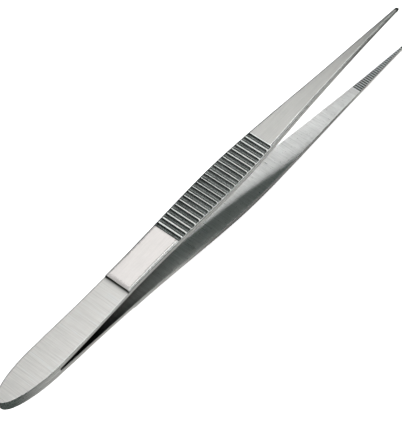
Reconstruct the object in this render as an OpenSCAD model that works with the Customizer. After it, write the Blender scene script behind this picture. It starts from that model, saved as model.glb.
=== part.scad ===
// Precision tweezers: two forged spring-steel arms, lap-welded together at the heel.
// Each arm runs from a thin spring leaf, over a step, through a thicker grip with
// cross grooves, and down a long tapering shank to a finely serrated jaw.
// X runs from heel to tips, Y across the arms, Z is the opening direction.

/* [Overall] */
// Length from the end of the heel to the tips
length = 125; // [120:1:130]
// Length of the rounded, welded heel
heel_l = 14; // [12:0.5:16]
// Place of the step where the spring leaf ends
step_x = 35.6; // [32:0.2:40]
// Place where the cross grooves begin
grip_start = 50.6; // [46:0.2:54]
// Place where the cross grooves end
grip_end = 80.4; // [76:0.2:84]
// Place where the serrations of the jaws begin
jaw_start = 108.5; // [104:0.5:112]

/* [Arm outline] */
// Half width of the heel
heel_half_w = 4.12; // [3.6:0.02:4.6]
// Half width at the step
waist_half_w = 3.66; // [3.2:0.02:4]
// Half width at the widest part of the grip
grip_half_w = 4.14; // [3.6:0.02:4.6]
// Half width where the shank has begun to taper
shank_half_w = 2.76; // [2.2:0.02:3]
// Half width at the root of the jaw
jaw_half_w = 1.24; // [0.9:0.02:1.4]
// Half width of the upper jaw's tip
tip_half_w = 0.36; // [0.3:0.02:0.5]
// How much finer each side of the lower jaw's tip is ground
lower_tip_finer = 0.16; // [0:0.02:0.2]

/* [Arm opening] */
// Height of the inner face above the middle plane where the slot between the leaves begins
gap_at_heel = 0.26; // [0.1:0.02:0.34]
// The same at the step
gap_at_step = 1.95; // [1.6:0.05:2.3]
// The same at the middle of the grip
gap_at_grip = 3.78; // [3.4:0.02:4.2]
// The same along the shank
gap_at_shank = 5; // [4.6:0.1:5.4]
// The same at the tip
gap_at_tip = 5.7; // [5.2:0.1:6.2]

/* [Arm thickness] */
// Thickness of one arm at the heel
heel_t = 1.28; // [1:0.02:1.5]
// Thickness of the spring leaf just behind the step
leaf_t = 0.78; // [0.6:0.02:0.9]
// Thickness just in front of the step
step_t = 1.26; // [1.1:0.02:1.5]
// Thickness at the middle of the grip
grip_t = 1.4; // [1.2:0.05:1.6]
// Thickness along the shank
shank_t = 1.2; // [1:0.05:1.4]
// Thickness at the tip
tip_t = 0.7; // [0.5:0.05:0.9]
// Edge break along the spring leaf
leaf_bevel = 0.06; // [0.04:0.01:0.1]
// Bevel of the outer long edges at the step
step_bevel = 0.26; // [0.2:0.02:0.34]
// Bevel of the outer long edges along the grip
grip_bevel = 0.4; // [0.3:0.02:0.5]
// Bevel of the outer long edges at the tip
tip_bevel = 0.28; // [0.2:0.02:0.3]

/* [Grooves and serrations] */
// Number of cross grooves on each grip
groove_count = 22; // [16:1:22]
// Depth of a cross groove
groove_depth = 0.3; // [0.2:0.02:0.5]
// Width of a cross groove at the surface
groove_w = 0.98; // [0.8:0.02:1.1]
// Spacing of the jaw serrations
tooth_pitch = 0.59; // [0.45:0.01:0.8]
// Depth of the jaw serrations
tooth_depth = 0.14; // [0.08:0.01:0.2]

/* [Heel weld] */
// Depth of the weld in from the edge of the heel
weld_depth = 0.8; // [0.6:0.1:1.2]
// Height of the weld seam on each side of the joint face
weld_h = 0.4; // [0.3:0.05:0.5]

/* [Hidden] */

// Where each leaf's bending is gathered: half way from the slot to the step
flex_x = (heel_l + step_x) / 2;
// Radius of the rounded tip, as seen in plan and from the side
tip_round = 0.7;
// Spacing of the cross grooves, and the round cutter that leaves one
groove_pitch = (grip_end - grip_start) / groove_count;
groove_r = (groove_w * groove_w / 4 + groove_depth * groove_depth) / (2 * groove_depth);
tooth_count = floor((length - tip_round - jaw_start) / tooth_pitch);
// A cutter reaches this far past the faces it cuts
over = 1;

// Stations along an arm, each [place, value, slope there]
mid_grip = (grip_start + grip_end) / 2;
plan = [
    [heel_l, heel_half_w, -0.01],
    [step_x, waist_half_w, -0.02],
    [mid_grip, grip_half_w, 0.01],
    [grip_end + 8.6, shank_half_w, -0.085],
    [jaw_start + 1.5, jaw_half_w, -0.058],
    [length, tip_half_w, -0.06]
];
opening = [
    [heel_l, gap_at_heel, 0.052],
    [step_x + 2.4, gap_at_step, 0.07],
    [mid_grip + 2.5, gap_at_grip, 0.05],
    [grip_end + 15.6, gap_at_shank, 0.028],
    [length, gap_at_tip, -0.01]
];
leaf_thickness = [
    [heel_l, heel_t - gap_at_heel, -0.03],
    [heel_l + 5, (heel_t + leaf_t) / 2 - 0.07, -0.035],
    [heel_l + 14, leaf_t, 0],
    [step_x, leaf_t, 0]
];
arm_thickness = [
    [step_x, step_t, 0],
    [mid_grip - 2.5, grip_t, 0],
    [grip_end + 8.6, shank_t, -0.01],
    [length, tip_t, -0.01]
];
arm_bevel = [
    [step_x, step_bevel, 0],
    [mid_grip - 2.5, grip_bevel, 0],
    [grip_end, grip_bevel, 0],
    [grip_end + 8.6, 0.32, 0],
    [length, tip_bevel, 0]
];

// Smooth curve through a row of stations
function blend(a, b, t) =
    let (h = b[0] - a[0])
    (1 + 2 * t) * pow(1 - t, 2) * a[1] + t * pow(1 - t, 2) * h * a[2]
    + t * t * (3 - 2 * t) * b[1] + t * t * (t - 1) * h * b[2];
function segment(row, x, i = 0) =
    i >= len(row) - 2 || x < row[i + 1][0] ? i : segment(row, x, i + 1);
function along(row, x) =
    let (i = segment(row, x), a = row[i], b = row[i + 1])
    blend(a, b, min(1, max(0, (x - a[0]) / (b[0] - a[0]))));

// Share of the full section that is left inside the rounded tip
function nose(x) =
    x <= length - tip_round ? 1 : sqrt(max(0.06, 1 - pow((x - length + tip_round) / tip_round, 2)));
// Smooth ramp from 0 to 1 along the front of the arm
function tip_ramp(x) =
    let (s = min(1, max(0, (x - grip_end - 11.6) / (length - grip_end - 11.6))))
    s * s * (3 - 2 * s);

function half_w(x, finer) = (along(plan, x) - finer * tip_ramp(x)) * nose(x);
function inner_z(x) = along(opening, x);
function thick(x, leaf) = along(leaf ? leaf_thickness : arm_thickness, x) * nose(x);
function bevel(x, leaf) = leaf ? leaf_bevel : min(along(arm_bevel, x), 0.4 * along(plan, x)) * nose(x);

// Height of the middle plane above the lowest point of the lower arm
mid_z = max([for (x = [step_x : 0.25 : length]) inner_z(x) + thick(x, false)]);

// One cross section of the upper arm: a flat-bottomed bar with bevelled top edges
function section(x, leaf, finer) =
    let (w = half_w(x, finer), z = inner_z(x), t = thick(x, leaf), b = min(bevel(x, leaf), 0.45 * w))
    [[x, -w, z], [x, w, z], [x, w, z + t - b], [x, w - b, z + t], [x, b - w, z + t], [x, -w, z + t - b]];

// Solid through a row of cross sections with the same number of points
module loft(rings) {
    n = len(rings[0]);
    last = (len(rings) - 1) * n;
    sides = [
        for (r = [0 : len(rings) - 2], k = [0 : n - 1])
        let (a = r * n + k, b = r * n + (k + 1) % n)
        each [[a, b + n, b], [a, a + n, b + n]]
    ];
    polyhedron(
        points = [for (ring = rings) each ring],
        faces = concat([[for (k = [0 : n - 1]) k]], sides, [[for (k = [n - 1 : -1 : 0]) last + k]])
    );
}

// Length of an upper arm between two places
module arm_zone(from, to, steps, leaf = false, finer = 0) {
    loft([for (i = [0 : steps]) section(from + (to - from) * i / steps, leaf, finer)]);
}

// Rounded outline of the heel, drawn in by an inset
module heel_outline(inset) {
    steps = 24;
    a = heel_l - inset;
    b = heel_half_w - inset;
    polygon([for (i = [-steps : steps]) [heel_l - a * cos(90 * i / steps), b * sin(90 * i / steps)]]);
}

// Strip along the edge of the heel that the weld fills
module weld_strip(h) {
    linear_extrude(height = h) difference() {
        heel_outline(0);
        heel_outline(weld_depth);
    }
}

module heel_plate() {
    difference() {
        linear_extrude(height = heel_t) heel_outline(0);
        translate([0, 0, -over]) weld_strip(over + weld_h);
    }
}

module grip() {
    difference() {
        arm_zone(step_x, grip_end, 8);
        for (i = [0 : groove_count - 1]) {
            x = grip_start + (i + 0.5) * groove_pitch;
            surface_z = inner_z(x) + thick(x, false);
            translate([x, 0, surface_z + groove_r - groove_depth])
                rotate([90, 0, 0])
                cylinder(r = groove_r, h = 2 * (grip_half_w + over), center = true, $fn = 32);
        }
    }
}

module jaw(finer) {
    round_steps = 5;
    straight_steps = 6;
    straight_end = length - tip_round;
    difference() {
        loft(concat(
            [for (i = [0 : straight_steps])
                section(jaw_start + (straight_end - jaw_start) * i / straight_steps, false, finer)],
            [for (i = [1 : round_steps])
                section(straight_end + tip_round * sin(90 * i / round_steps), false, finer)]
        ));
        for (i = [0 : tooth_count - 1]) {
            x = jaw_start + (i + 0.5) * tooth_pitch;
            translate([x, 0, inner_z(x)])
                rotate([90, 0, 0])
                cylinder(r = tooth_depth, h = 2 * (jaw_half_w + over), center = true, $fn = 4);
        }
    }
}

// Moves a shape drawn on the heel's end and middle plane to its place in the finished frame
module in_place() {
    translate([-length / 2, 0, mid_z]) children();
}

module lower_side() {
    in_place() mirror([0, 0, 1]) children();
}

module heel_weld() {
    color("gray") in_place() translate([0, 0, -weld_h]) weld_strip(2 * weld_h);
}

module upper_heel_plate() {
    color("silver") in_place() heel_plate();
}

module upper_spring_leaf_root() {
    color("silver") in_place() arm_zone(heel_l, flex_x, 8, leaf = true);
}

module upper_spring_leaf_end() {
    color("gainsboro") in_place() arm_zone(flex_x, step_x, 6, leaf = true);
}

module upper_grip() {
    color("lightgray") in_place() grip();
}

module upper_shank() {
    color("silver") in_place() arm_zone(grip_end, jaw_start, 14);
}

module upper_jaw() {
    color("darkgray") in_place() jaw(0);
}

module lower_heel_plate() {
    color("silver") lower_side() heel_plate();
}

module lower_spring_leaf_root() {
    color("silver") lower_side() arm_zone(heel_l, flex_x, 8, leaf = true);
}

module lower_spring_leaf_end() {
    color("gainsboro") lower_side() arm_zone(flex_x, step_x, 6, leaf = true);
}

module lower_grip() {
    color("lightgray") lower_side() grip();
}

module lower_shank() {
    color("silver") lower_side() arm_zone(grip_end, jaw_start, 14, finer = lower_tip_finer);
}

module lower_jaw() {
    color("darkgray") lower_side() jaw(lower_tip_finer);
}

heel_weld();
upper_heel_plate();
upper_spring_leaf_root();
upper_spring_leaf_end();
upper_grip();
upper_shank();
upper_jaw();
lower_heel_plate();
lower_spring_leaf_root();
lower_spring_leaf_end();
lower_grip();
lower_shank();
lower_jaw();
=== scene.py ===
import math

import bpy
import numpy as np
from mathutils import Matrix, Vector


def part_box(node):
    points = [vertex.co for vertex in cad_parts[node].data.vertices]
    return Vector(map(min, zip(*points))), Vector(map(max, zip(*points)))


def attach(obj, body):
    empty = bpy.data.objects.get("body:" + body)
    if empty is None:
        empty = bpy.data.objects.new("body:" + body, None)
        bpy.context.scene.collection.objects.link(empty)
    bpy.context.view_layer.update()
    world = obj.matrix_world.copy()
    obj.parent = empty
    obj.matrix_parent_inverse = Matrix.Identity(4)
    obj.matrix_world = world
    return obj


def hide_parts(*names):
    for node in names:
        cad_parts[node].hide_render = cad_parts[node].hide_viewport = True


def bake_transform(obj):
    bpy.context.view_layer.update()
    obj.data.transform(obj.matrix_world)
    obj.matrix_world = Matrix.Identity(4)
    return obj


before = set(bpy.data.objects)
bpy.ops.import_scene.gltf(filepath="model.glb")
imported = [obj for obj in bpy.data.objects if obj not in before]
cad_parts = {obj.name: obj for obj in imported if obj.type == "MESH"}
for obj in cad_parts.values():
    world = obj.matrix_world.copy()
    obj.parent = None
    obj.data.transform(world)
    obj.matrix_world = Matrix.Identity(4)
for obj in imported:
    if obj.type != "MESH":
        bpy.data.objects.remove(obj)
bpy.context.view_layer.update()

# ---------------------------------------------------------------- driving values, in millimetres
MM = 0.001

# Places along the arms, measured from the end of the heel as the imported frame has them
heel_low, heel_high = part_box("upper_heel_plate")
weld_low, weld_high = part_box("heel_weld")
HEEL_END = heel_low.x / MM
MID_Z = (weld_low.z + weld_high.z) / 2 / MM


def place(name, corner):
    """How far one end of a CAD node lies from the end of the heel: 0 is its rear end, 1 its front end."""
    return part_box(name)[corner].x / MM - HEEL_END


HEEL_L = place("upper_heel_plate", 1)
STEP_X = place("upper_spring_leaf_end", 1)
GRIP_END = place("upper_grip", 1)
JAW_START = place("upper_jaw", 0)
LENGTH = place("upper_jaw", 1)
HEEL_W = heel_high.y / MM
HEEL_T = heel_high.z / MM - MID_Z
WELD_H = weld_high.z / MM - MID_Z
WELD_DEPTH = 0.8
GRIP_START = 50.6
MID_GRIP = (GRIP_START + GRIP_END) / 2

# Stations along an arm, each (place, value, slope there)
PLAN = [(HEEL_L, 4.12, -0.01), (STEP_X, 3.66, -0.02), (MID_GRIP, 4.14, 0.01),
        (GRIP_END + 8.6, 2.76, -0.085), (JAW_START + 1.5, 1.24, -0.058), (LENGTH, 0.36, -0.06)]
OPENING = [(HEEL_L, 0.26, 0.052), (STEP_X + 2.4, 1.95, 0.07), (MID_GRIP + 2.5, 3.78, 0.05),
           (GRIP_END + 15.6, 5, 0.028), (LENGTH, 5.7, -0.01)]
LEAF_THICKNESS = [(HEEL_L, 1.02, -0.03), (HEEL_L + 5, 0.96, -0.035),
                  (HEEL_L + 14, 0.78, 0), (STEP_X, 0.78, 0)]
ARM_THICKNESS = [(STEP_X, 1.26, 0), (MID_GRIP - 2.5, 1.4, 0),
                 (GRIP_END + 8.6, 1.2, -0.01), (LENGTH, 0.7, -0.01)]
ARM_BEVEL = [(STEP_X, 0.26, 0), (MID_GRIP - 2.5, 0.4, 0), (GRIP_END, 0.4, 0),
             (GRIP_END + 8.6, 0.32, 0), (LENGTH, 0.28, 0)]
LEAF_BEVEL = 0.05
TIP_ROUND = 0.7
# Least share of the section that is left at the very tip, squared
TIP_STUB = 0.05
# How much finer each side of the lower tip is, and where past the grip that begins
LOWER_TIP_FINER = 0.16
FINER_AFTER = 11.6

# Cross grooves of the grip and serrations of the jaw
GROOVES = 22
GROOVE_PITCH = (GRIP_END - GRIP_START) / GROOVES
GROOVE_DEPTH = 0.3
GROOVE_W = 0.98
# The roundness of a groove's section: 2 is an ellipse, more is squarer
GROOVE_POWER = 2.6
TOOTH_PITCH = 0.59
TOOTH_DEPTH = 0.14
TOOTH_HALF_W = 0.19

# Small forms that only the looks need: rounded lips of a groove, rounded long edges inside and outside,
# the rounded top and hollow foot of the step, and the ridges that the cutter leaves in a groove
LIP = 0.045
INNER_EDGE = 0.07
BEVEL_EDGE = 0.1
STEP_ROUND = 0.1
STEP_FILLET = 0.36
MILL_PITCH = 0.27
MILL_DEPTH = 0.025
# How far a forged edge wanders, and how far apart its slow swings are
RAGGED = 0.05
RAGGED_PITCH = 0.7
# A narrow strip beside each edge, which keeps the shading of the flat face flat
CREASE = 0.02
# Painted shade along the long edge on the far side: how dark it is
PAINTED_FAR_EDGE_SHADE = 0.7
# Where the painted light and shade on the steel towards each end begin and are complete
HEEL_FADE_PLACES = (HEEL_L, 0.0)
TIP_FADE_PLACES = (JAW_START - 14, LENGTH - 4)

# Zones round an arm's section, which are also its material slots; a foot has the wall's material
INNER, WALL, OUTER, BEVEL, FOOT = range(5)
# Two more material slots, which only the grip has
CUT_SLOT, LAND_SLOT = 4, 5


# ---------------------------------------------------------------- shape of an arm
def along(row, x):
    """Smooth curve through a row of stations."""
    x = np.asarray(x, float)
    i = np.clip(np.searchsorted([s[0] for s in row], x, side="right") - 1, 0, len(row) - 2)
    stations = np.array(row, float)
    a, b = stations[i], stations[i + 1]
    h = b[..., 0] - a[..., 0]
    t = np.clip((x - a[..., 0]) / h, 0, 1)
    return (
        (1 + 2 * t) * (1 - t) ** 2 * a[..., 1]
        + t * (1 - t) ** 2 * h * a[..., 2]
        + t * t * (3 - 2 * t) * b[..., 1]
        + t * t * (t - 1) * h * b[..., 2]
    )


def rising(value, start, end):
    """0 up to the start, 1 from the end on, and straight in between; falling if the end comes first."""
    return np.clip((value - start) / (end - start), 0, 1)


def nose(x):
    """Share of the full section that is left inside the rounded tip."""
    inside = np.clip((x - LENGTH + TIP_ROUND) / TIP_ROUND, 0, 1)
    return np.sqrt(np.maximum(TIP_STUB, 1 - inside**2))


def tip_ramp(x):
    """Smooth ramp from 0 to 1 along the front of the arm."""
    t = rising(x, GRIP_END + FINER_AFTER, LENGTH)
    return t * t * (3 - 2 * t)


def ragged(x, seed):
    """Random wander of an edge at places x, as a forging's ground edge has: half slow swings, half grain."""
    rng = np.random.default_rng(seed)
    knots = rng.uniform(-1, 1, int(LENGTH / RAGGED_PITCH) + 3)
    swings = np.interp(x, np.arange(len(knots)) * RAGGED_PITCH, knots)
    return RAGGED * (0.6 * swings + 0.6 * rng.uniform(-1, 1, len(x)))


def groove_rows(widen):
    """Places along one groove with its depth and its painted shade there: a steep-walled cut with rounded
    lips, whose floor keeps the fine ridges left by the cutter, and with painted shade darkest on its front
    wall."""
    half = GROOVE_W / 2 * widen
    f = np.concatenate([[-0.995, -0.97, -0.92], np.linspace(-0.85, 0.85, 35), [0.92, 0.97, 0.995]])
    depth = GROOVE_DEPTH * (1 - np.abs(f) ** GROOVE_POWER) ** (1 / GROOVE_POWER)
    floor = rising(np.abs(f), 0.8, 0.65)
    ridges = 0.5 + 0.5 * np.cos(2 * math.pi * f * half / MILL_PITCH)
    depth = depth - MILL_DEPTH * floor * ridges
    lip_x, lip_d = [-half - LIP, -half - 0.3 * LIP], [0.0, 0.3 * LIP]
    dx = np.concatenate([[-GROOVE_PITCH / 2], lip_x, half * f, [-v for v in lip_x[::-1]]])
    depth = np.concatenate([[0.0], lip_d, depth, lip_d[::-1]])
    # Painted shade: darkest on the front wall, fainter on the rear wall, none on the lips
    painted_front_shade = rising(dx / half, 0.12, 0.57)
    painted_rear_shade = 0.35 * rising(dx / half, -0.6, -0.75)
    painted_grip_shade = np.maximum(painted_front_shade, painted_rear_shade) * np.clip(depth / LIP - 1, 0, 1)
    return dx, depth, painted_grip_shade


def tooth_rows():
    """Places along one jaw serration with its depth there: a vee between two flat lands."""
    f = np.array([-1.1, -1, -0.82, -0.5, -0.06, 0.06, 0.5, 0.82, 1, 1.1])
    dx = np.concatenate([[-TOOTH_PITCH / 2], f * TOOTH_HALF_W])
    depth = TOOTH_DEPTH * np.clip(1 - np.abs(dx) / TOOTH_HALF_W, 0, 1)
    return dx, depth


def ring(x, leaf, finer, groove, tooth, rise, seed):
    """Cross sections of the upper arm at places x, as columns of (y, height, zone) from the middle of the
    inner face round the +Y side to the middle of the outer face. Groove and tooth are depths cut into the
    outer and the inner face, and rise lifts the outer face."""
    n = nose(x)
    w = (along(PLAN, x) - finer * tip_ramp(x)) * n
    z = along(OPENING, x)
    if leaf:
        t, b = along(LEAF_THICKNESS, x), np.full_like(x, LEAF_BEVEL)
    else:
        t = along(ARM_THICKNESS, x) * n
        b = np.minimum(np.minimum(along(ARM_BEVEL, x), 0.4 * along(PLAN, x)) * n, 0.45 * w)
    inner_r = np.minimum(INNER_EDGE, 0.2 * w)
    top = z + t + rise - groove
    step_bevel = ARM_BEVEL[0][1]
    wander = np.zeros_like(x) if leaf else ragged(x, seed) * np.clip(b / step_bevel, 0, 1) * (groove < 0.01)
    corner = w - b + np.minimum(groove, b * 0.98) + wander
    wall = np.minimum(z + t - b + np.minimum(rise, 0), top - 0.01)
    r = np.minimum(BEVEL_EDGE, (w - corner) / 3)
    slope = np.stack([corner - w, top - wall])
    slope = slope / np.linalg.norm(slope, axis=0)
    columns = []

    def add(y, h, zone):
        columns.append((y, h, zone))

    for f in np.linspace(0, 1, 8):
        add(f * (w - inner_r - CREASE), z + tooth, INNER)
    add(w - inner_r, z + tooth, INNER)
    for a in np.radians([30, 60, 90]):
        add(w - inner_r + inner_r * np.sin(a), z + np.maximum(inner_r * (1 - np.cos(a)), tooth), FOOT)
    for f in (0.3, 0.7):
        add(w, z + inner_r + f * (wall - z - inner_r), WALL)
    add(w, wall - r, WALL)
    add(w + 0.25 * r * slope[0], wall + 0.25 * r * (slope[1] - 1), WALL)
    add(w + r * slope[0], wall + r * slope[1], WALL)
    pits = np.random.default_rng(seed + 50)
    for f in (0.33, 0.67):
        pit = 0 * x if leaf else 0.4 * RAGGED * pits.uniform(0, 1, len(x)) ** 2
        add(w + f * (corner - w) - pit, wall + f * (top - wall) - pit, BEVEL)
    add(corner - r * slope[0], top - r * slope[1], BEVEL)
    add(corner - 0.25 * r * (1 + slope[0]), top - 0.25 * r * slope[1], BEVEL)
    edge = corner - r
    add(edge, top, OUTER)
    for f in np.concatenate([[1, 0.96, 0.92], np.linspace(0.85, 0, 9)]):
        add(f * (edge - CREASE), top, OUTER)
    return columns


def tube_faces(rows, cols, mirrored):
    """Faces round a tube of rows of points, and its two ends; a mirrored tube is wound the other way."""
    i, k = np.meshgrid(np.arange(rows - 1), np.arange(cols), indexing="ij")
    a, b = i * cols + k, i * cols + (k + 1) % cols
    quads = np.stack([a, b, b + cols, a + cols] if mirrored else [a, a + cols, b + cols, b], -1)
    first, last = list(range(cols)), list(range((rows - 1) * cols, rows * cols))
    ends = [first[::-1], last] if mirrored else [first, last[::-1]]
    return quads.reshape(-1, 4).tolist() + ends


def arm_slots(x, loop, groove):
    """Material slot of each face of an arm; both ends have the wall's."""
    cols = len(loop)
    pairs = [{loop[c][2], loop[(c + 1) % cols][2]} for c in range(cols)]
    strips = [BEVEL if BEVEL in pair else WALL if pair & {WALL, FOOT} else min(pair) for pair in pairs]
    by_face = np.tile(np.array(strips), (len(x) - 1, 1))
    on_grip = (x[:-1, None] > GRIP_START) & (x[:-1, None] < GRIP_END)
    by_face[on_grip & (by_face == OUTER)] = LAND_SLOT
    cut = np.maximum(groove[:-1], groove[1:]) > LIP
    by_face[cut[:, None] & (by_face == LAND_SLOT)] = CUT_SLOT
    return np.concatenate([by_face.reshape(-1), [WALL, WALL]])


def set_shade(mesh, label, values):
    """A number at each point of a mesh, which the materials read by its label."""
    attribute = mesh.attributes.new(label, "FLOAT", "POINT")
    attribute.data.foreach_set("value", values.reshape(-1).astype(np.float32))


def arm_mesh(name, x, side, painted_shade, leaf=False, finer=0.0, groove=None, tooth=None, rise=None, grain=None):
    """A closed forging through the sections at places x, on the upper (side 1) or lower (side -1) arm.
    Painted shade tells how dark each zone is painted at each place, and grain how unground the outer face is
    there."""
    groove, tooth, rise = (np.zeros_like(x) if given is None else given for given in (groove, tooth, rise))
    half = ring(x, leaf, finer, groove, tooth, rise, 7 + side)
    other = ring(x, leaf, finer, groove, tooth, rise, 17 + side)
    loop = half + [(-y, h, zone) for y, h, zone in other[-2:0:-1]]
    rows, cols = len(x), len(loop)
    co = np.zeros((rows, cols, 3))
    dark, unground = np.zeros((rows, cols)), np.zeros((rows, cols))
    edge = max(loop, key=lambda column: column[2] == OUTER and column[0].max())[0]
    outline_w = 0.3 if leaf else 0.1
    for k, (y, h, zone) in enumerate(loop):
        co[:, k, 0] = x + HEEL_END
        co[:, k, 1] = y
        co[:, k, 2] = MID_Z + side * h
        # Painted shade for each zone, as the caller gives it
        if zone in painted_shade:
            dark[:, k] = painted_shade[zone]
        # Painted shade along the far side's long edge, on the outer face and the bevel
        if k < len(half) and zone in (OUTER, BEVEL):
            dark[:, k] = np.maximum(dark[:, k], PAINTED_FAR_EDGE_SHADE * rising(edge - y, outline_w, 0))
        if grain is not None and zone == OUTER:
            unground[:, k] = np.maximum(grain, rising(edge - np.abs(y), 0.6, 0))
    mesh = bpy.data.meshes.new(name)
    mesh.from_pydata((co.reshape(-1, 3) * MM).tolist(), [], tube_faces(rows, cols, side < 0))
    mesh.polygons.foreach_set("material_index", arm_slots(x, loop, groove).astype(np.int32))
    set_shade(mesh, "painted_shade", dark)
    set_shade(mesh, "grain", unground)
    return finish_mesh(name, mesh)


def finish_mesh(name, mesh, sharp_deg=32):
    """Smooth shading with creases kept, as an object in the scene."""
    mesh.validate()
    mesh.polygons.foreach_set("use_smooth", [True] * len(mesh.polygons))
    mesh.set_sharp_from_angle(angle=math.radians(sharp_deg))
    mesh.update()
    obj = bpy.data.objects.new(name, mesh)
    bpy.context.scene.collection.objects.link(obj)
    return obj


def grip_sections():
    """Places, groove depths and painted shade from the step to the end of the grip; the grooves widen and
    narrow again along it."""
    step_edge = STEP_X + STEP_ROUND * (1 - np.cos(np.linspace(0, math.pi / 2, 6)))
    x = [np.concatenate([step_edge, np.arange(STEP_X + 0.2, GRIP_START - 0.05, 0.13)])]
    grooves, painted_grip_shade = [np.zeros_like(x[0])], [np.zeros_like(x[0])]
    for i in range(GROOVES):
        dx, depth, painted_groove_shade = groove_rows(0.95 + 0.21 * math.sin(math.pi * (i + 0.5) / GROOVES))
        x.append(GRIP_START + (i + 0.5) * GROOVE_PITCH + dx)
        grooves.append(depth)
        painted_grip_shade.append(painted_groove_shade)
    x.append(np.array([GRIP_END]))
    grooves.append(np.zeros(1))
    painted_grip_shade.append(np.zeros(1))
    return np.concatenate(x), np.concatenate(grooves), np.concatenate(painted_grip_shade)


def jaw_sections():
    """Places and serration depths from the root of the jaw to the tip."""
    dx, depth = tooth_rows()
    count = int((LENGTH - TIP_ROUND - JAW_START) / TOOTH_PITCH)
    x, s = [np.array([JAW_START])], [np.zeros(1)]
    for i in range(count):
        first = 1 if i == 0 else 0
        x.append(JAW_START + (i + 0.5) * TOOTH_PITCH + dx[first:])
        s.append(depth[first:])
    round_deg = np.arange(0, 91, 9)
    x.append(LENGTH - TIP_ROUND + TIP_ROUND * np.sin(np.radians(round_deg)))
    s.append(np.zeros(len(round_deg)))
    return np.concatenate(x), np.concatenate(s)


# ---------------------------------------------------------------- heel
def heel_outline(inset, steps=72):
    """Rounded outline of the heel, drawn in by an inset, from one end of the round to the other."""
    a, b = HEEL_L - inset, HEEL_W - inset
    angles = np.radians(np.linspace(-90, 90, steps + 1))
    return np.stack([HEEL_L - a * np.cos(angles), b * np.sin(angles)], -1)


def swept_points(profile, side):
    """Points of a profile of (inset, height) run round the heel's outline, with their rows and columns."""
    outlines = [heel_outline(inset) for inset, _ in profile]
    rings = [np.column_stack([line, np.full(len(line), h)]) for line, (_, h) in zip(outlines, profile)]
    co = np.stack(rings, 1)
    rows, cols = co.shape[:2]
    points = co.reshape(-1, 3).copy()
    points[:, 0] += HEEL_END
    points[:, 2] = MID_Z + side * points[:, 2]
    return points, rows, cols


def heel_plate_mesh(name, side):
    """Half of the heel: flat outer face, broken edge, and the ledge that the weld fills."""
    r = LEAF_BEVEL
    wall = [(WELD_DEPTH, 0), (WELD_DEPTH, WELD_H), (0, WELD_H), (0, 0.6 * HEEL_T), (0, HEEL_T - r)]
    round_edge = [(r * (1 - math.cos(a)), HEEL_T - r + r * math.sin(a)) for a in np.radians([30, 60, 90])]
    flat = [(inset, HEEL_T) for inset in (r + CREASE, 0.25, 0.5, 1, 1.5, 2, 2.5, 3, 3.5, 3.9)]
    profile = wall + round_edge + flat
    points, rows, cols = swept_points(profile, side)
    i, k = np.meshgrid(np.arange(rows - 1), np.arange(cols - 1), indexing="ij")
    a = i * cols + k
    quads = np.stack([a, a + 1, a + 1 + cols, a + cols], -1).reshape(-1, 4)
    bottom = [row * cols for row in range(rows)]
    top = [row * cols + cols - 1 for row in range(rows)][::-1]
    end = list(range(cols))[::-1] + list(range((rows - 1) * cols, rows * cols))
    faces = quads.tolist() + [bottom, top, end]
    if side > 0:
        faces = [face[::-1] for face in faces]
    edge_quads = len(wall) + len(round_edge) - 1
    slots = [WALL] * edge_quads + [OUTER] * (cols - 1 - edge_quads)
    mesh = bpy.data.meshes.new(name)
    mesh.from_pydata((points * MM).tolist(), [], faces)
    slots = slots * (rows - 1) + [INNER, OUTER, WALL]
    mesh.polygons.foreach_set("material_index", np.array(slots, np.int32))
    # Painted shade along the far side's long edge of the flat outer face
    from_edge = np.tile([max(0, inset - r) for inset, _ in profile], rows)
    on_top = np.tile([h > 0.9 * HEEL_T for _, h in profile], rows)
    far_side = np.clip(points[:, 1], 0, 1)
    set_shade(mesh, "painted_shade", PAINTED_FAR_EDGE_SHADE * rising(from_edge, 0.3, 0) * far_side * on_top)
    return finish_mesh(name, mesh)


def weld_mesh(name):
    """The dressed weld round the heel's joint face, flush with both plates."""
    heights = np.linspace(-WELD_H, WELD_H, 9)
    profile = [(0, h) for h in heights] + [(WELD_DEPTH, WELD_H), (WELD_DEPTH, -WELD_H)]
    points, rows, cols = swept_points(profile, 1)
    mesh = bpy.data.meshes.new(name)
    mesh.from_pydata((points * MM).tolist(), [], tube_faces(rows, cols, False))
    mesh.attributes.new("painted_shade", "FLOAT", "POINT")
    return finish_mesh(name, mesh)


# ---------------------------------------------------------------- steel
def node(tree, kind, **sockets):
    """A shader node with some of its sockets set, by name."""
    made = tree.nodes.new(kind)
    for key, value in sockets.items():
        made.inputs[key.replace("_", " ")].default_value = value
    return made


def streaks(tree, coords, length, width, direction, detail=3.0, offset=0.0):
    """Noise drawn out along one axis: streaks of about that length and width in millimetres."""
    per_m = [1 / (width * MM)] * 3
    per_m["XYZ".index(direction)] = 1 / (length * MM)
    mapping = node(tree, "ShaderNodeMapping", Scale=per_m, Location=(offset, offset, offset))
    tree.links.new(coords, mapping.inputs["Vector"])
    noise = node(tree, "ShaderNodeTexNoise", Scale=1.0, Detail=detail, Roughness=0.6)
    tree.links.new(mapping.outputs["Vector"], noise.inputs["Vector"])
    return noise.outputs["Fac"]


def remap(tree, value, start, end, low, high, smooth=False):
    """Change from one number to another as a value goes from start to end."""
    ranged = tree.nodes.new("ShaderNodeMapRange")
    if smooth:
        ranged.interpolation_type = "SMOOTHSTEP"
    for socket, number in zip(("From Min", "From Max", "To Min", "To Max"), (start, end, low, high)):
        ranged.inputs[socket].default_value = number
    tree.links.new(value, ranged.inputs["Value"])
    return ranged.outputs["Result"]


def spread(tree, value, low, high):
    """A noise value, which mostly lies between 0.3 and 0.7, spread between two numbers."""
    return remap(tree, value, 0.3, 0.7, low, high)


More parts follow.
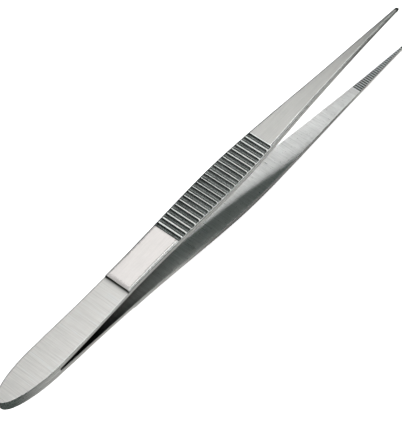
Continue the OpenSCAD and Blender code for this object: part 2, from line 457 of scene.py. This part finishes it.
def math_node(tree, operation, a, b):
    """The result of one sum on two values, each a number or a node's output."""
    made = tree.nodes.new("ShaderNodeMath")
    made.operation = operation
    for socket, value in zip(made.inputs, (a, b)):
        if isinstance(value, (int, float)):
            socket.default_value = value
        else:
            tree.links.new(value, socket)
    return made.outputs["Value"]


def mesh_value(tree, label):
    """The number that a mesh holds at each point under a label."""
    attribute = tree.nodes.new("ShaderNodeAttribute")
    attribute.attribute_name = label
    return attribute.outputs["Fac"]


def with_forged_skin(tree, coords, shade, tone):
    """The shade, changed to a grainy one of another tone where the mesh says that it is unground."""
    grit = streaks(tree, coords, 0.3, 0.3, "X", detail=2.0, offset=20.0)
    reach = math_node(tree, "ADD", mesh_value(tree, "grain"), spread(tree, grit, -0.35, 0.35))
    mask = remap(tree, reach, 0.35, 0.55, 0.0, 1.0, smooth=True)
    difference = math_node(tree, "SUBTRACT", spread(tree, grit, tone - 0.16, tone + 0.16), shade)
    return math_node(tree, "ADD", shade, math_node(tree, "MULTIPLY", mask, difference))


def with_pits(tree, coords, shade, depth):
    """The shade, with scattered darker specks."""
    specks = streaks(tree, coords, 0.35, 0.35, "X", detail=1.0, offset=60.0)
    return math_node(tree, "MULTIPLY", shade, remap(tree, specks, 0.7, 0.76, 1.0, 1 - depth, smooth=True))


def with_painted_shade(tree, shade, painted_shade_tone):
    """The shade, darkened by the painted shade that the mesh holds, down to a share of itself."""
    loss = math_node(tree, "MULTIPLY", mesh_value(tree, "painted_shade"), 1 - painted_shade_tone)
    return math_node(tree, "MULTIPLY", shade, math_node(tree, "SUBTRACT", 1.0, loss))


def with_painted_end_light(tree, coords, shade, painted_heel_light, painted_tip_light):
    """The shade with painted light and shade: changed by a factor towards the end of the heel and by another
    towards the tips.
    """
    where = tree.nodes.new("ShaderNodeSeparateXYZ")
    tree.links.new(coords, where.inputs["Vector"])
    for fade, places in ((painted_heel_light, HEEL_FADE_PLACES), (painted_tip_light, TIP_FADE_PLACES)):
        if fade != 1:
            start, end = ((value + HEEL_END) * MM for value in places)
            factor = remap(tree, where.outputs["X"], start, end, 1.0, fade, smooth=True)
            shade = math_node(tree, "MULTIPLY", shade, factor)
    return shade


def steel(name, tone, brush, contrast=0.1, rough=(0.26, 0.4), bump=0.5, relief=0.004, mottle=0.05,
          sizes=((9, 0.12), (16, 0.5), (5, 0.05)), painted_shade_tone=0.25, stretch=0.75,
          painted_heel_light=1.0, painted_tip_light=1.0, forged=None, pits=0.0):
    """Satin steel of a tone, brushed along one axis in streaks of three sizes (length, width)."""
    mat = bpy.data.materials.new(name)
    mat.use_nodes = True
    tree = mat.node_tree
    tree.nodes.clear()
    out = tree.nodes.new("ShaderNodeOutputMaterial")
    bsdf = node(tree, "ShaderNodeBsdfPrincipled", Metallic=1.0, Anisotropic=stretch)
    crosswise = node(tree, "ShaderNodeCombineXYZ", **{"X" if brush == "Y" else "Y": 1.0})
    tree.links.new(crosswise.outputs["Vector"], bsdf.inputs["Tangent"])
    tree.links.new(bsdf.outputs["BSDF"], out.inputs["Surface"])
    coords = tree.nodes.new("ShaderNodeTexCoord").outputs["Object"]
    layers = [streaks(tree, coords, *size, brush, offset=7.0 * i) for i, size in enumerate(sizes)]
    cloud = streaks(tree, coords, 4, 4, "X", detail=2.0, offset=40.0)

    shade = math_node(tree, "ADD", spread(tree, layers[0], 1 - contrast, 1 + contrast),
                      spread(tree, layers[1], -contrast, contrast))
    shade = math_node(tree, "ADD", shade, spread(tree, cloud, -mottle, mottle))
    if forged is not None:
        shade = with_forged_skin(tree, coords, shade, forged)
    if pits:
        shade = with_pits(tree, coords, shade, pits)
    shade = with_painted_shade(tree, shade, painted_shade_tone)
    shade = with_painted_end_light(tree, coords, shade, painted_heel_light, painted_tip_light)
    tint = tree.nodes.new("ShaderNodeVectorMath")
    tint.operation = "SCALE"
    tint.inputs[0].default_value = tone
    tree.links.new(shade, tint.inputs["Scale"])
    tree.links.new(tint.outputs["Vector"], bsdf.inputs["Base Color"])

    polish = math_node(tree, "ADD", spread(tree, layers[1], *rough), spread(tree, cloud, -0.03, 0.03))
    tree.links.new(polish, bsdf.inputs["Roughness"])

    height = math_node(tree, "ADD", layers[0], layers[2])
    scratches = node(tree, "ShaderNodeBump", Strength=bump, Distance=relief * MM)
    tree.links.new(height, scratches.inputs["Height"])
    tree.links.new(scratches.outputs["Normal"], bsdf.inputs["Normal"])
    return mat


# Painted light and shade towards the ends: the steel brushed across is darker at the heel, the walls lighter
# at the heel and a little lighter at the tips, the bevel and the taper darker towards the tips
across = steel("steel_brushed_across", (0.945, 0.92, 0.893), "Y", rough=(0.36, 0.48), mottle=0.03,
               sizes=((9, 0.12), (16, 0.24), (4, 0.07)), painted_heel_light=0.9, painted_shade_tone=0.04)
lengthwise = steel("steel_brushed_lengthwise", (0.567, 0.542, 0.529), "X", contrast=0.05, rough=(0.3, 0.4),
                   forged=0.6, painted_shade_tone=0.1)
inner = steel("steel_inner_face", (0.885, 0.88, 0.87), "Y", rough=(0.28, 0.4), bump=1.0, relief=0.007,
              sizes=((3, 0.13), (9, 0.4), (2, 0.1)), pits=0.5, painted_shade_tone=0.06)
edges = steel("steel_ground_wall", (0.62, 0.62, 0.61), "X", contrast=0.08, rough=(0.2, 0.32), stretch=0.0,
              painted_heel_light=1.3, painted_tip_light=1.05, painted_shade_tone=0.08)
bevel = steel("steel_forged_bevel", (0.95, 0.95, 0.93), "X", contrast=0.24, rough=(0.22, 0.4), stretch=0.0,
              sizes=((0.4, 0.25), (1.2, 0.6), (0.15, 0.15)), painted_tip_light=0.8, painted_shade_tone=0.08, pits=0.5)
taper = steel("steel_ground_taper", (0.405, 0.401, 0.387), "X", contrast=0.07, rough=(0.3, 0.4),
              painted_tip_light=0.75, painted_shade_tone=0.08)
bite = steel("steel_serrated", (0.72, 0.74, 0.75), "Y", contrast=0.08, rough=(0.28, 0.38), painted_shade_tone=0.05)
fused = steel("steel_dressed_weld", (0.74, 0.74, 0.73), "X", contrast=0.08, rough=(0.22, 0.34), stretch=0.0)
land = steel("steel_groove_land", (0.67, 0.69, 0.675), "X", contrast=0.12, rough=(0.3, 0.4))
cut_steel = steel("steel_milled_groove", (0.29, 0.31, 0.3), "Y", contrast=0.06, bump=0.25, stretch=0.0,
                  rough=(0.14, 0.24), sizes=((2.5, 0.13), (4, 0.3), (1.2, 0.07)))


def dress(obj, *materials):
    """Materials in the order of the slots: inner face, wall, outer face, bevel, cut and land."""
    for material in materials:
        obj.data.materials.append(material)
    return obj


# ---------------------------------------------------------------- the object
# Each painted shade goes from 0, none, to 1, darkest. Its table has places in millimetres from the end of
# the heel, and the shade at each.
def painted_slot_shade(x):
    """Painted shade on the inner face: most where the slot between the leaves is tight, and none from the
    first groove to the middle of the shank."""
    return np.interp(x, (24, STEP_X - 2, GRIP_START, 96, 106), (0.8, 0.5, 0, 0, 0.1))


def painted_wall_shade(x, side):
    """Painted shade on the wall: towards the tip on the upper arm, and along the grip and shank on the
    lower.
    """
    if side > 0:
        return np.interp(x, (102, 110), (0, 0.65))
    return np.interp(x, (48, 60, 78, 86, 96, 103, 109), (0, 0.7, 0.75, 0.52, 0.52, 0.5, 0))


def painted_foot_shade(x, side):
    """Painted shade on the rounded foot of the wall."""
    if side > 0:
        return np.full_like(x, 0.55)
    return np.interp(x, (46, 56, 90, 102, 109), (0, 0.3, 0.35, 0.6, 0))


def build_heel(word, side):
    """One plate of the heel."""
    heel = dress(heel_plate_mesh(f"{word}_heel_half", side), inner, edges, across)
    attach(heel, "heel")
    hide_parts(f"{word}_heel_plate")


def build_leaf(word, side):
    """One spring leaf, which runs from the heel to its arm and has a hollow at the foot of the step."""
    start = STEP_X - STEP_FILLET
    hollow = STEP_X - STEP_FILLET * np.cos(np.radians(np.arange(15, 76, 15)))
    x = np.concatenate([np.linspace(HEEL_L, start, 70), hollow, [STEP_X]])
    into = rising(x, start, STEP_X)
    rise = 0.8 * STEP_FILLET * (1 - np.sqrt(np.maximum(0, 1 - into**2)))
    # Painted shadow on the leaf at the foot of the step, darkest against it
    painted_step_shadow = 0.95 * rising(x, STEP_X - 1.5, STEP_X) ** 2.5
    leaf = arm_mesh(f"{word}_spring_leaf", x, side, leaf=True, rise=rise,
                    painted_shade={INNER: painted_slot_shade(x), OUTER: painted_step_shadow, FOOT: painted_foot_shade(x, side)})
    dress(leaf, inner, edges, across, edges)
    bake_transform(leaf)
    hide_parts(f"{word}_spring_leaf_root", f"{word}_spring_leaf_end")


def build_grip(word, side):
    """One grip: the rounded, unground edge of the step, the plain rear end and the cross grooves."""
    x, grooves, painted_grip_shade = grip_sections()
    corner = rising(x, STEP_X + STEP_ROUND, STEP_X)
    rise = -STEP_ROUND * (1 - np.sqrt(np.maximum(0, 1 - corner**2)))
    # Painted shade on the rounded edge of the step, together with the painted shade in the grooves
    painted_grip_shade = np.maximum(painted_grip_shade, corner)
    unground = rising(x, STEP_X + 1.6, STEP_X)
    # Painted shade on the bevel beside the plain rear end, and a little of the grooves' painted shade on the
    # bevel along them
    painted_bevel_shade = 0.33 * np.clip(GRIP_START - x, 0, 1)
    grip = arm_mesh(f"{word}_grip_forging", x, side, groove=grooves, rise=rise, grain=unground,
                    painted_shade={INNER: painted_slot_shade(x), WALL: painted_wall_shade(x, side), OUTER: painted_grip_shade,
                            BEVEL: np.maximum(painted_bevel_shade, 0.16 * painted_grip_shade), FOOT: painted_foot_shade(x, side)})
    dress(grip, inner, edges, lengthwise, bevel, cut_steel, land)
    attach(grip, f"{word}_arm")
    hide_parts(f"{word}_grip")


def build_shank(word, side, finer):
    """One tapering shank."""
    x = np.linspace(GRIP_END, JAW_START, 160)
    # Painted shade on the bevel, darkest near 98 mm from the heel's end
    painted_bevel_shade = np.interp(x, (90, 98, JAW_START), (0.55, 0.63, 0.55))
    shank = arm_mesh(f"{word}_shank_taper", x, side, finer=finer,
                     painted_shade={INNER: painted_slot_shade(x), WALL: painted_wall_shade(x, side), BEVEL: painted_bevel_shade,
                             FOOT: painted_foot_shade(x, side)})
    dress(shank, inner, edges, taper, bevel)
    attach(shank, f"{word}_arm")
    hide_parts(f"{word}_shank")


def build_jaw(word, side, finer):
    """One serrated jaw, with painted shade in its cuts and darker steel at its very tip."""
    x, teeth = jaw_sections()
    # Darker steel at the very tip, on every zone
    dark_tip = rising(x, LENGTH - 0.95, LENGTH - 0.7)
    # Painted shade in the serration cuts, and the darker tip
    cut = np.maximum(np.clip(teeth / 0.05, 0, 1), dark_tip)
    # Painted shade on the bevel, lighter towards the tip, and the darker tip
    painted_bevel_shade = np.maximum(np.interp(x, (JAW_START, 116), (0.55, 0.4)), dark_tip)
    jaw = arm_mesh(f"{word}_jaw_point", x, side, finer=finer, tooth=teeth,
                   painted_shade={INNER: cut, WALL: np.maximum(painted_wall_shade(x, side), dark_tip), OUTER: dark_tip,
                           BEVEL: painted_bevel_shade, FOOT: dark_tip})
    dress(jaw, bite, edges, taper, bevel)
    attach(jaw, f"{word}_arm")
    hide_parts(f"{word}_jaw")


for word, side, finer in (("upper", 1, 0.0), ("lower", -1, LOWER_TIP_FINER)):
    build_heel(word, side)
    build_leaf(word, side)
    build_grip(word, side)
    build_shank(word, side, finer)
    build_jaw(word, side, finer)
weld = dress(weld_mesh("dressed_heel_weld"), fused)
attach(weld, "heel")
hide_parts("heel_weld")


# ---------------------------------------------------------------- floor, light and camera, in metres
def floor_material():
    """Matt off-white that glows a little, so that the floor stays pale under soft light."""
    mat = bpy.data.materials.new("pale_floor")
    mat.use_nodes = True
    bsdf = mat.node_tree.nodes["Principled BSDF"]
    bsdf.inputs["Base Color"].default_value = (0.9, 0.9, 0.9, 1)
    bsdf.inputs["Roughness"].default_value = 0.9
    bsdf.inputs["Emission Color"].default_value = (1, 1, 1, 1)
    bsdf.inputs["Emission Strength"].default_value = 0.86
    return mat


def studio_floor(radius=2.4, wall=1.2, steps=64):
    """A pale disc that curves up into a low wall all the way round."""
    flat = radius - wall
    climb = np.radians(np.arange(10, 91, 10))
    profile = [(flat, 0.0)] + [(flat + wall * math.sin(a), wall * (1 - math.cos(a))) for a in climb]
    spokes = [2 * math.pi * i / steps for i in range(steps)]
    verts = [(0.0, 0.0, 0.0)]
    for r, z in profile:
        verts += [(r * math.cos(a), r * math.sin(a), z) for a in spokes]
    faces = [(0, 1 + i, 1 + (i + 1) % steps) for i in range(steps)]
    for ring_no in range(len(profile) - 1):
        a, b = 1 + ring_no * steps, 1 + (ring_no + 1) * steps
        faces += [(a + i, b + i, b + (i + 1) % steps, a + (i + 1) % steps) for i in range(steps)]
    mesh = bpy.data.meshes.new("studio_floor")
    mesh.from_pydata(verts, [], faces)
    mesh.polygons.foreach_set("use_smooth", [True] * len(mesh.polygons))
    obj = bpy.data.objects.new("studio_floor", mesh)
    bpy.context.scene.collection.objects.link(obj)
    obj.data.materials.append(floor_material())
    obj.visible_glossy = False


def softbox(name, direction, distance, width, height, radiance):
    """An oblong soft light aimed at the object; radiance is how bright it looks in a reflection."""
    light = bpy.data.lights.new(name, "AREA")
    light.shape = "RECTANGLE"
    light.size, light.size_y = width, height
    light.energy = radiance * math.pi * width * height
    obj = bpy.data.objects.new(name, light)
    bpy.context.scene.collection.objects.link(obj)
    away = Vector(direction).normalized()
    obj.location = away * distance + Vector((0, 0, MID_Z * MM))
    level = Vector((1, 0, 0))
    level = (level - away * level.dot(away)).normalized()
    obj.rotation_mode = "QUATERNION"
    obj.rotation_quaternion = Matrix((level, away.cross(level), away)).transposed().to_quaternion()
    obj.visible_camera = False


def studio_world():
    """Dim surroundings with one soft pale side, low in front of the object."""
    world = bpy.data.worlds.new("studio")
    bpy.context.scene.world = world
    world.use_nodes = True
    tree = world.node_tree
    direction = tree.nodes.new("ShaderNodeTexCoord").outputs["Generated"]
    facing = tree.nodes.new("ShaderNodeVectorMath")
    facing.operation = "DOT_PRODUCT"
    facing.inputs[1].default_value = Vector((0.53, -0.31, -0.79)).normalized()
    tree.links.new(direction, facing.inputs[0])
    ramp = tree.nodes.new("ShaderNodeValToRGB")
    ramp.color_ramp.interpolation = "EASE"
    dim, pale = ramp.color_ramp.elements
    dim.position, dim.color = 0.72, (0.080, 0.095, 0.090, 1)
    pale.position, pale.color = 0.97, (0.62, 0.62, 0.60, 1)
    tree.links.new(facing.outputs["Value"], ramp.inputs["Fac"])
    tree.links.new(ramp.outputs["Color"], tree.nodes["Background"].inputs["Color"])


def studio_camera(azimuth=-32.56, elevation=49.91, roll=-17.23, distance=0.5996, lens=233.3,
                  aside=(-1.46, 1.91)):
    """The camera looks beside the middle of the object, by so many millimetres right and down, from that
    azimuth and elevation in degrees."""
    a, e, r = (math.radians(v) for v in (azimuth, elevation, roll))
    level = Vector((math.cos(a), math.sin(a), 0))
    ahead = Vector((-math.sin(a) * math.cos(e), math.cos(a) * math.cos(e), -math.sin(e)))
    upright = level.cross(ahead)
    right = level * math.cos(r) + upright * math.sin(r)
    down = level * math.sin(r) - upright * math.cos(r)
    middle = Vector((HEEL_END * MM + LENGTH * MM / 2, 0, MID_Z * MM))
    camera = bpy.data.cameras.new("camera")
    camera.lens = lens
    camera.sensor_width = 36
    camera.clip_start = 0.01
    obj = bpy.data.objects.new("camera", camera)
    bpy.context.scene.collection.objects.link(obj)
    obj.location = middle - ahead * distance
    target = middle + (right * aside[0] + down * aside[1]) * MM
    back = (obj.location - target).normalized()
    side = (-down).cross(back).normalized()
    obj.rotation_mode = "QUATERNION"
    obj.rotation_quaternion = Matrix((side, back.cross(side), back)).transposed().to_quaternion()
    bpy.context.scene.camera = obj


studio_camera()
studio_floor()
studio_world()
softbox("overhead_softbox", (0.20, 0.28, 0.94), 0.8, 0.5, 0.42, 3.6)
softbox("front_softbox", (0.34, -0.77, 0.54), 0.8, 0.45, 0.4, 1.2)
bpy.context.scene.view_settings.view_transform = "Standard"
